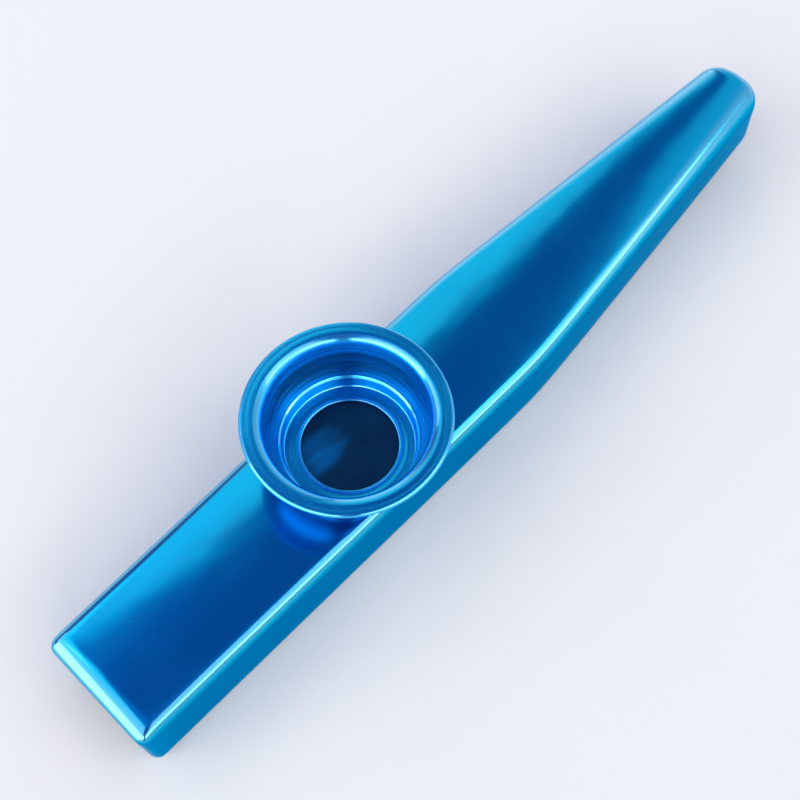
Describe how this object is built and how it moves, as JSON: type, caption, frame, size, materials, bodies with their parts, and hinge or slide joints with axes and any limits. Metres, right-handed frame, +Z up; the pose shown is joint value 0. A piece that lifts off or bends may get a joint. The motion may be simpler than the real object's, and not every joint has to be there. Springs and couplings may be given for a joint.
{
  "type": "kazoo",
  "caption": "Hummed wind instrument: a slim closed sheet-metal body, flat mouth slot at one end, round outlet at the other, and a flared screw-in cup holding a buzzing film.",
  "frame": {"origin": "On the ground, under the middle of the overall box. The cup's axis stands at x = -0.019 m.", "axes": "+X runs along the body from the mouth end to the outlet, +Z is up out of the cup, and +Y is to the left when looking from the mouth end to the outlet."},
  "size_m": [0.12, 0.025, 0.0197],
  "materials": {
    "blue_shell": "glossy blue anodised sheet",
    "blue_under_shell": "glossy blue anodised sheet",
    "blue_collar": "turned and blue anodised",
    "white_ring": "moulded",
    "dark_film": "stretched film",
    "blue_cup": "turned, polished and blue anodised"
  },
  "bodies": {
    "body": {"upper_shell": "blue_shell", "lower_shell": "blue_under_shell", "turret_collar": "blue_collar"},
    "film": {"membrane_ring": "white_ring", "membrane": "dark_film"},
    "cap": {"turret_cap": "blue_cup"}
  },
  "joints": [
    {"name": "cap_lift", "type": "slide", "parent": "body", "child": "cap", "axis": [0, 0, 1], "range_m": [0, 0.024]},
    {"name": "membrane_lift", "type": "slide", "parent": "body", "child": "film", "axis": [0, 0, 1], "range_m": [0, 0.012]}
  ],
  "couplings": [
    {"joint": "membrane_lift", "follows": "cap_lift", "ratio": 0.5}
  ]
}
